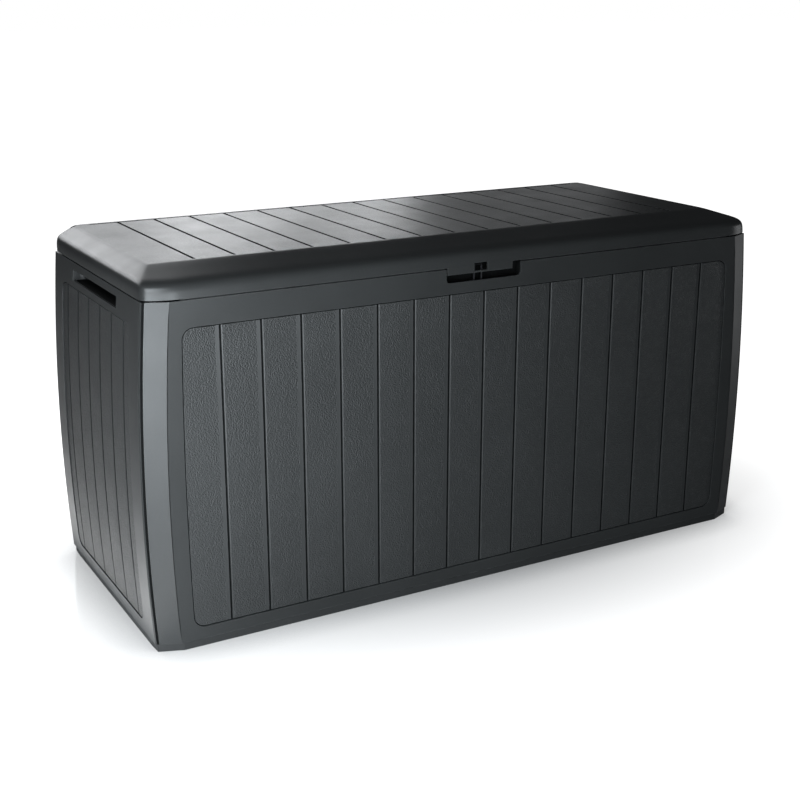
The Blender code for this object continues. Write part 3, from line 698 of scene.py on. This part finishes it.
def leftWall(name):
    wall, edge = body["wall"], bandY - 0.0003
    flange = edge - 0.003
    obj = addBox(name, (-endX, -edge, body["foot"]), (wall - endX, edge, body["top"]))
    foldY = body["halfDepth"] - body["endFoldInset"]
    edit(obj)
    cutAcross(obj, "y", (-foldY, foldY, -flange, flange))
    cutAcross(obj, "z", rowsBetween(body["foot"], body["top"], body["rows"]))
    pickFaces(obj, lambda c, n: n.x > 0.9 and abs(c.y) > flange)
    bpy.ops.mesh.extrude_region_move(
        TRANSFORM_OT_translate={"value": (body["flangeWidth"] - wall + body["endFoldRise"], 0, 0)})
    pickVerts(obj, lambda co: abs(co.y) > edge - 1e-4 and near(co.x, -endX))
    shift(x=body["endFoldRise"])
    pickEdges(obj, lambda a, b: near(a.y, b.y) and abs(a.y) > edge - 1e-4 and near(a.x, b.x)
              and near(a.x, body["endFoldRise"] - endX))
    bpy.ops.mesh.bevel(offset=0.0012, segments=2)
    bowOut(obj, lambda co: -1)
    done()
    halfY = foldY - 0.0003
    inner = endX - wall
    step = addBox("step", (-endX + wall / 2, -halfY, latch["lipFoot"]),
                  (latch["lip"] + latch["lipPlay"] - inner, halfY, body["top"] - 0.0004))
    fuse(obj, step)
    lip = addBox("lip", (latch["lipPlay"] - inner, -halfY, latch["lipFoot"] + 0.0004),
                 (latch["lip"] + latch["lipPlay"] - inner, halfY, latch["lipTop"]))
    fuse(obj, lip)
    footX = endX + bowAt(body["foot"]) - wall
    foot = addBox("foot", (-footX - 0.0008, -foldY + 0.01, body["foot"] + 0.0002),
                  (body["footReach"] + 0.0005 - footX, foldY - 0.01, body["foot"] + body["footThick"]))
    fuse(obj, foot)
    depth = -endX + body["fieldDepth"]
    sinkField(obj, endWall["fieldHalf"], endX, True, lambda co: -1, 1.0)
    line = grooveTool("line", groove["endProfile"], depth, body["fieldFoot"] + groove["endGap"],
                      body["fieldTop"] - groove["endGap"])
    edit(line)
    cutAcross(line, "z", rowsBetween(body["fieldFoot"], body["fieldTop"], body["rows"]))
    bpy.ops.mesh.select_all(action="SELECT")
    shift(x=-(endWall["grooves"] - 1) / 2 * endWall["pitch"])
    quarterTurn(line)
    bowOut(line, lambda co: -1)
    done()
    side = 1 if line.data.vertices[0].co.y < 0 else -1
    repeat(line, endWall["grooves"], (0, side * endWall["pitch"], 0))
    cutWith(obj, line)
    # The hand grip: a closed pocket with rounded ends behind a long slot
    top = body["top"] - endWall["gripDrop"]
    low = top - endWall["gripHeight"]
    half = endWall["gripLength"] / 2
    back = endX + bowAt(low) - wall - endWall["gripDepth"]
    rim = endWall["gripWall"]
    shell = addBox("shell", (-endX + wall / 2, -half - rim, low - rim),
                   (rim - back, half + rim, top + rim))
    hollow = addBox("hollow", (-endX - 0.02, -half, low), (-back, half, top))
    for tool, far in ((shell, rim - back), (hollow, -back)):
        edit(tool)
        pickEdges(tool, lambda a, b: near(a.x, b.x) and near(a.y, b.y) and near(a.x, far))
        bpy.ops.mesh.bevel(offset=endWall["gripRound"], segments=8)
        done()
    fuse(obj, shell)
    cutWith(obj, hollow)
    return obj


def onEndBoards(c, n):
    return abs(n.x) > 0.97 and abs(c.x) > 0.5 and near(
        abs(c.x), endX + bowAt(c.z) - body["fieldDepth"], 2.5e-4)


def inEndPaintedShade(c, n):
    # The bottoms of the grooves, the inside of the grip, and the seams at both corners: faces painted
    # near black as shade
    sunk = endX + bowAt(c.z) + c.x
    inHeight = body["fieldFoot"] - 1e-4 < c.z < body["fieldTop"] + 1e-4
    ground = inHeight and abs(c.y) < endWall["fieldHalf"] + 1e-4
    gripTop = body["top"] - endWall["gripDrop"]
    gripFoot = gripTop - endWall["gripHeight"]
    inGrip = abs(c.y) < endWall["gripLength"] / 2 and gripFoot < c.z < gripTop + 1e-4
    deep = body["fieldDepth"] + groove["shoulder"] < sunk < 0.0036
    seam = abs(c.y) > bandY - 0.0025 and abs(n.y) > 0.5 and sunk > 0.0020
    return ground and deep or inGrip and sunk > 0.0025 and n.x < 0.3 and c.y < 0.095 or seam


def endWalls():
    left = leftWall("left_wall")
    # The end wall's groove bottoms, grip inside and corner seams take the near-black painted shade
    paint(left, framePlastic, (boardPlastic, onEndBoards), (paintedShadePlastic, inEndPaintedShade))
    only(left)
    bpy.ops.object.duplicate()
    right = bpy.context.object
    right.name = "right_wall"
    halfTurn(right)
    finishPiece(left, "box", "panel_plastic", "left_end_panel", angle=24)
    finishPiece(right, "box", "panel_plastic", "right_end_panel", angle=24)


frontWall()
backWall()
endWalls()

# ---- lid

lid = {
    "foot": 0.5465, "skirtTop": 0.566, "endSlope": 0.036, "frontSlope": 0.086, "backSlope": 0.001,
    "corner": 0.019, "wall": 0.0035,
    "grooveHalf": 0.0025, "grooveDepth": 0.0026, "grooveLip": 0.0004,
    "grooveFront": -0.142, "channel": 0.224, "channelHalf": 0.502,
    "tabLeft": -0.0695, "tabRight": 0.053, "tabDrop": 0.012,
    "slotMiddle": -0.0075, "slotWidth": 0.026, "slotHeight": 0.013, "slotLip": 0.0025,
    "ribDepth": 0.018, "rib": 0.003,
}


def lidOutlines():
    # Two matching rings of points: the skirt in plan, and the edge of the flat top
    depth, foldY = body["halfDepth"], body["halfDepth"] - body["endFoldInset"]
    fold = cornerX - body["bandWidth"]
    band = Vector((body["bandWidth"], -body["bandDepth"])).normalized()
    alongEnd = Vector((endX - cornerX, foldY - bandY)).normalized()
    corner = Vector((cornerX, bandY))
    quarter = [
        Vector((fold - 0.060, depth)), Vector((fold - 0.020, depth)),
        Vector((fold - 0.002, depth - 0.0006)), Vector((fold, depth)) + band * 0.016,
        corner - band * 0.012, corner + (alongEnd - band) * 0.0015, corner + alongEnd * 0.010,
        Vector((endX, foldY)), Vector((endX, foldY - 0.040))]
    half = (endX - lid["endSlope"], depth - lid["backSlope"], depth - lid["frontSlope"])
    rings = []
    for front in (True, False):
        far = half[2] if front else half[1]
        c = lid["corner"]
        top = [
            Vector((quarter[0].x, far)), Vector((half[0] - c * 2.4, far)),
            Vector((half[0] - c * 1.35, far)),
            Vector((half[0] - c * 0.75, far)), Vector((half[0] - c * 0.36, far - c * 0.06)),
            Vector((half[0] - c * 0.12, far - c * 0.12)), Vector((half[0] - c * 0.06, far - c * 0.36)),
            Vector((half[0], far - c * 0.9)), Vector((half[0], far - c * 2.2))]
        rings.append((quarter, top))
    (skirtFront, topFront), (skirtBack, topBack) = rings
    outer = [Vector((p.x, -p.y)) for p in skirtFront] + [Vector(p) for p in reversed(skirtBack)]
    inner = [Vector((p.x, -p.y)) for p in topFront] + [Vector(p) for p in reversed(topBack)]
    outer += [Vector((-p.x, p.y)) for p in reversed(outer)]
    inner += [Vector((-p.x, p.y)) for p in reversed(inner)]
    return outer, inner


def lidShell():
    outer, inner = lidOutlines()
    bpy.ops.object.select_all(action="DESELECT")
    bpy.ops.mesh.primitive_circle_add(
        vertices=len(outer), radius=0.3, fill_type="NGON", location=(0, 0, lid["foot"]))
    obj = bpy.context.object
    obj.name = "lid_cover"
    bpy.ops.object.transform_apply(location=True, rotation=True, scale=True)
    height = body["lidTop"] - lid["skirtTop"]
    # share of the way from the skirt to the flat top, and height
    rings = [
        (0.0, lid["foot"]), (0.0, lid["foot"] + 0.0008), (0.010, lid["skirtTop"] - 0.0085),
        (0.040, lid["skirtTop"] - 0.0008), (0.13, lid["skirtTop"] + height * 0.23),
        (0.28, lid["skirtTop"] + height * 0.40), (0.5, lid["skirtTop"] + height * 0.575),
        (0.80, lid["skirtTop"] + height * 0.84), (1.0, body["lidTop"])]
    edit(obj)
    bpy.ops.mesh.select_mode(type="VERT")

    def ringPlace(share, z):
        return [o.lerp(i, share).to_3d() + Vector((0, 0, z)) for o, i in zip(outer, inner)]

    def turnOf(point):
        return math.atan2(point.y - middle.y, point.x - middle.x)

    def move(points):
        # Takes each point of the ring in hand to its own place, and leaves the ring selected
        bm = bmesh.from_edit_mesh(obj.data)
        ring = sorted((vert for vert in bm.verts if vert.select), key=lambda vert: turnOf(vert.co))
        places = [vert.index for vert in ring]
        for index, point in zip(places, sorted(points, key=turnOf)):
            bm = bmesh.from_edit_mesh(obj.data)
            for vert in bm.verts:
                vert.select = vert.index == index
            bm.select_flush(False)
            shift(*(point - next(vert.co for vert in bm.verts if vert.index == index)))
        bm = bmesh.from_edit_mesh(obj.data)
        for vert in bm.verts:
            vert.select = vert.index in places
        bm.select_flush(True)
        bmesh.update_edit_mesh(obj.data)

    middle = Vector((0, 0.02, 0))
    bpy.ops.mesh.select_all(action="SELECT")
    move(ringPlace(*rings[0]))
    for share, z in rings[1:]:
        bpy.ops.mesh.extrude_region_move(TRANSFORM_OT_translate={"value": (0, 0, 0.001)})
        move(ringPlace(share, z))
    # Two more rings inside the flat keep it level up to its edge
    for inwards in (0.0055, 0.014):
        bpy.ops.mesh.extrude_region_move(TRANSFORM_OT_translate={"value": (0, 0, 0.0)})
        points = []
        for place in ringPlace(1.0, body["lidTop"]):
            x = place.x - math.copysign(inwards, place.x) if abs(place.x) >= 0.495 else place.x
            y = place.y - inwards * 0.15 if place.y > 0 else place.y + inwards * 0.8
            points.append(Vector((x, y, place.z)))
        move(points)
    # The circle's own face is the floor of the block, so it goes, and the shell gets its wall
    pickFaces(obj, lambda c, n: near(c.z, lid["foot"]) and abs(n.z) > 0.9)
    bpy.ops.mesh.delete(type="FACE")
    bpy.ops.mesh.select_all(action="SELECT")
    bpy.ops.mesh.normals_make_consistent(inside=False)
    done()
    only(obj)
    rounding = obj.modifiers.new("rounding", "SUBSURF")
    rounding.levels = rounding.render_levels = 2
    bpy.ops.object.modifier_apply(modifier=rounding.name)
    thick = obj.modifiers.new("wall", "SOLIDIFY")
    thick.thickness = lid["wall"]
    thick.offset = -1
    bpy.ops.object.modifier_apply(modifier=thick.name)
    return obj


def lidCover():
    obj = lidShell()
    depth, wall = body["halfDepth"], lid["wall"]
    # The padlock tab grows down from the skirt's rim
    edit(obj)
    cutAcross(obj, "x", (lid["tabLeft"], lid["tabRight"]))
    pickFaces(obj, lambda c, n: n.z < -0.7 and near(c.z, lid["foot"], 2e-4)
              and c.y < wall - depth + 1e-4 and lid["tabLeft"] < c.x < lid["tabRight"])
    bpy.ops.mesh.extrude_region_move(TRANSFORM_OT_translate={"value": (0, 0, -lid["tabDrop"])})
    pickEdges(obj, lambda a, b: near(a.x, lid["tabRight"]) and near(b.x, lid["tabRight"])
              and abs(a.z - b.z) > 0.008 and a.y < 0.001 - depth
              and min(a.z, b.z) < lid["foot"] - 0.008)
    bpy.ops.mesh.bevel(offset=0.0016, segments=2)
    done()
    top = body["lidTop"]
    x = endX - lid["endSlope"] - wall
    front = -(depth - lid["frontSlope"] - 0.0041)
    back = depth - 0.0013
    ribs = addBox("ribs", (-3.5 * 0.145 - lid["rib"] / 2, front, top - wall - lid["ribDepth"]),
                  (-3.5 * 0.145 + lid["rib"] / 2, back, top - wall / 2))
    repeat(ribs, 8, (0.145, 0, 0))
    fuse(obj, ribs)
    pitch = (back - front) / 4
    beams = addBox("beams", (-x, front + pitch - lid["rib"] / 2, top - wall - lid["ribDepth"] + 0.0003),
                   (x, front + pitch + lid["rib"] / 2, top - wall / 2 - 0.0003))
    repeat(beams, 3, (0, pitch, 0))
    fuse(obj, beams)
    # Clearance at the rear edge, slots for the knuckles, and the ears beside them
    y, z, r = hinge["axisY"], hinge["axisZ"], hinge["radius"]
    cutWith(obj, addBox("rear", (-endX - 0.01, y - 2 * r, lid["foot"] - 0.01),
                        (endX + 0.01, depth + 0.01, z - r / 2 - 0.0003)))
    slot = hinge["width"] / 2 + hinge["play"]
    for place in hinge["places"]:
        cutWith(obj, addBox("slot", (place - slot, y - 2 * r, lid["foot"] - 0.01),
                            (place + slot, depth + 0.01, z + r + 2 * hinge["play"])))
        for side in (-1, 1):
            left, right = sorted((place + side * slot, place + side * (slot + hinge["ear"])))
            fuse(obj, lug("ear", left, right, top - wall / 2, 1))
            cutWith(obj, addRod("bore", hinge["pin"], left - 0.0005, right + 0.0005, y, z))
    # Board grooves that run into one channel along the rear
    half, depthZ, lip = lid["grooveHalf"], lid["grooveDepth"], lid["grooveLip"]

    def lidGroove(name, low, high, across):
        tool = addBox(name, (*low, top - depthZ), (*high, top + 0.001))
        edit(tool)
        cutAcross(tool, "z", (top - lip,))
        pickVerts(tool, lambda co: near(co.z, top + 0.001))
        centre = ((low[0] + high[0]) / 2, (low[1] + high[1]) / 2, top)
        grow = (half + lip + 0.001) / half
        bpy.ops.transform.resize(
            value=(grow, 1, 1) if across == "x" else (1, grow, 1), center_override=centre)
        done()
        return tool

    line = lidGroove("line", (-7 * body["pitch"] - half, lid["grooveFront"]),
                     (-7 * body["pitch"] + half, lid["channel"]), "x")
    repeat(line, body["grooves"], (body["pitch"], 0, 0))
    cutWith(obj, line)
    cutWith(obj, lidGroove("channel", (-lid["channelHalf"], lid["channel"] - half),
                           (lid["channelHalf"], lid["channel"] + half), "y"))
    low = lid["foot"] - lid["tabDrop"] + lid["slotLip"]
    slotHalf = lid["slotWidth"] / 2
    cutWith(obj, addBox("slot", (lid["slotMiddle"] - slotHalf, -depth - 0.01, low),
                        (lid["slotMiddle"] + slotHalf, -depth + 0.01, low + lid["slotHeight"])))

    def inLidGroove(c, n):
        inLine = lid["grooveFront"] - 1e-4 < c.y < lid["channel"] + 0.004 \
            and min(abs(c.x - i * body["pitch"]) for i in range(-7, 8)) < half + lip
        inChannel = near(c.y, lid["channel"], half + lip)
        return top - depthZ - 1e-4 < c.z < top - 1e-4 and (inLine or inChannel)

    # The insides of the lid's grooves and channel are painted near black as shade
    paint(obj, lidPlastic, (lidBoardPlastic, lambda c, n: n.z > 0.98 and near(c.z, top, 1e-4)),
          (paintedShadePlastic, inLidGroove))
    finishPiece(obj, "lid", "lid_plastic", "lid_shell", angle=30)


lidCover()

# ---- base, screws, pins and staple keep the shape of the frame and get their finish here

frame["nodes"]["floor_panel"].data.materials.clear()
frame["nodes"]["floor_panel"].data.materials.append(basePlastic)
for name, node in frame["nodes"].items():
    if "screw" in name or "pin_" in name or name == "lock_staple":
        node.data.materials.clear()
        node.data.materials.append(darkSteel if name == "lock_staple" else steel)
print("finished the fittings")

# ---- studio

studio = {
    # place, aim, size and watts of each softbox
    "lights": [
        ((-1.00, -0.90, 1.00), (-0.5, -0.2, 0.3), (0.5, 0.6), 11.5),
        ((-1.00, -0.90, 0.35), (-0.5, -0.2, 0.3), (0.5, 0.6), 10.5),
        ((-0.50, -1.50, 0.45), (-0.5, -0.2, 0.3), (0.5, 0.6), 11.0),
        ((1.01, 2.78, 0.82), (0, 0, 0.4), (1.0, 0.7), 10.0),
        ((0.35, 2.91, 0.90), (0, 0, 0.4), (1.2, 0.8), 4.0),
        ((0.00, 2.70, 1.62), (0, 0, 0.4), (1.2, 0.8), 8.0),
        ((-0.94, 2.58, 1.52), (0, 0, 0.4), (1.2, 0.8), 11.0),
        ((1.70, 2.40, 0.82), (0, 0, 0.4), (1.0, 0.7), 1.5),
        ((1.90, -0.45, 0.40), (0.2, -0.2, 0.3), (0.2, 0.9), 2.0)],
    "glowInPaintedShadow": 0.34,       # lifts the floor near the box towards white, less than further out, which paints a contact shadow
    "cameraPlace": (-1.1290, -1.9706, 0.9655), "yaw": 0.5111, "pitch": 0.3030, "lens": 59.27,
}

bpy.ops.object.select_all(action="DESELECT")
bpy.ops.mesh.primitive_plane_add(size=60, location=(0, 0, 0))
floor = bpy.context.object
floor.name = "studio_floor"
floorTree = Tree("studio_floor")
floorPlace = floorTree.add("ShaderNodeTexCoord").outputs["Object"]
squeeze = floorTree.add("ShaderNodeVectorMath", operation="MULTIPLY")
squeeze.inputs[1].default_value = (0.64, 1, 1)    # so the shade round the box follows its long shape
floorTree.join(floorPlace, squeeze.inputs[0])
away = floorTree.add("ShaderNodeVectorMath", operation="LENGTH")
floorTree.join(squeeze.outputs["Vector"], away.inputs[0])
path = floorTree.add("ShaderNodeLightPath").outputs["Is Camera Ray"]
pale = floorTree.add("ShaderNodeMix", data_type="RGBA")
split = floorTree.add("ShaderNodeSeparateXYZ")
floorTree.join(floorPlace, split.inputs[0])
# The floor throws less light back up towards the right
bounce = floorTree.add("ShaderNodeCombineColor")
for socket in bounce.inputs[:3]:
    floorTree.join(floorTree.ramp(split.outputs["X"], 0.85, 0.28, -0.66, -0.30), socket)
floorTree.join(bounce.outputs["Color"], pale.inputs["A"])
pale.inputs["B"].default_value = (0.30, 0.30, 0.30, 1)
floorTree.join(path, pale.inputs["Factor"])
floorTree.join(pale.outputs["Result"], floorTree.shader.inputs["Base Color"])
floorTree.shader.inputs["Roughness"].default_value = 0.12
floorTree.shader.inputs["Specular IOR Level"].default_value = 0.3
floorTree.shader.inputs["Emission Color"].default_value = (1, 1, 1, 1)
# The floor glows more away from the box and less where AO finds the box close: a painted contact shadow
# seen by the camera
glow = floorTree.ramp(away.outputs["Value"], studio["glowInPaintedShadow"], 1.1, 0.24, 0.60)
contact = floorTree.add("ShaderNodeAmbientOcclusion", samples=8)
contact.inputs["Distance"].default_value = 0.10
glow = floorTree.maths("MULTIPLY", glow, floorTree.ramp(contact.outputs["AO"], 0.50, 1.0, 0.5, 0.9))
# A strip of floor off the left end glows for every ray but the camera's: painted light on the left
# end's lower part
pool = floorTree.maths("MINIMUM", floorTree.ramp(split.outputs["X"], 0.0, 2.0, -0.74, -0.65),
                       floorTree.ramp(split.outputs["X"], 2.0, 0.0, -0.605, -0.59))
pool = floorTree.maths("MULTIPLY", pool, floorTree.maths("SUBTRACT", 1.0, path))
glow = floorTree.maths("ADD", floorTree.maths("MULTIPLY", glow, path), pool)
floorTree.join(glow, floorTree.shader.inputs["Emission Strength"])
floor.data.materials.append(floorTree.material)

world = bpy.data.worlds.new("studio")
bpy.context.scene.world = world
world.use_nodes = True
links = world.node_tree.links
sky = world.node_tree.nodes["Background"]
seen = world.node_tree.nodes.new("ShaderNodeBackground")
seen.inputs["Color"].default_value = (1, 1, 1, 1)
seen.inputs["Strength"].default_value = 1.0
sky.inputs["Color"].default_value = (0.9, 0.95, 1.0, 1)
sky.inputs["Strength"].default_value = 0.035
mixer = world.node_tree.nodes.new("ShaderNodeMixShader")
rays = world.node_tree.nodes.new("ShaderNodeLightPath")
links.new(rays.outputs["Is Camera Ray"], mixer.inputs["Fac"])
links.new(sky.outputs["Background"], mixer.inputs[1])
links.new(seen.outputs["Background"], mixer.inputs[2])
links.new(mixer.outputs["Shader"], world.node_tree.nodes["World Output"].inputs["Surface"])


def softbox(name, place, aim, width, height, watts, colour=(1, 1, 1)):
    light = bpy.data.lights.new(name, "AREA")
    light.shape = "RECTANGLE"
    light.size, light.size_y = width, height
    light.energy = watts
    light.color = colour
    obj = bpy.data.objects.new(name, light)
    bpy.context.scene.collection.objects.link(obj)
    obj.location = place
    obj.visible_camera = False
    obj.rotation_euler = (Vector(aim) - Vector(place)).to_track_quat("-Z", "Y").to_euler()
    return obj


for number, (place, aim, size, watts) in enumerate(studio["lights"], 1):
    tint = (0.88, 0.95, 1.0) if place[1] < -0.6 else (0.96, 0.98, 1.0)
    softbox(f"softbox_{number}", place, aim, size[0], size[1], watts, tint)

camera = bpy.data.cameras.new("camera")
camera.lens = studio["lens"]
camera.sensor_width = 36
camera.dof.use_dof = False
eye = bpy.data.objects.new("camera", camera)
bpy.context.scene.collection.objects.link(eye)
eye.location = studio["cameraPlace"]
ahead = Vector((math.sin(studio["yaw"]) * math.cos(studio["pitch"]),
                math.cos(studio["yaw"]) * math.cos(studio["pitch"]), -math.sin(studio["pitch"])))
eye.rotation_euler = ahead.to_track_quat("-Z", "Y").to_euler()
bpy.context.scene.camera = eye
bpy.context.scene.view_settings.view_transform = "Standard"
print("set the studio")
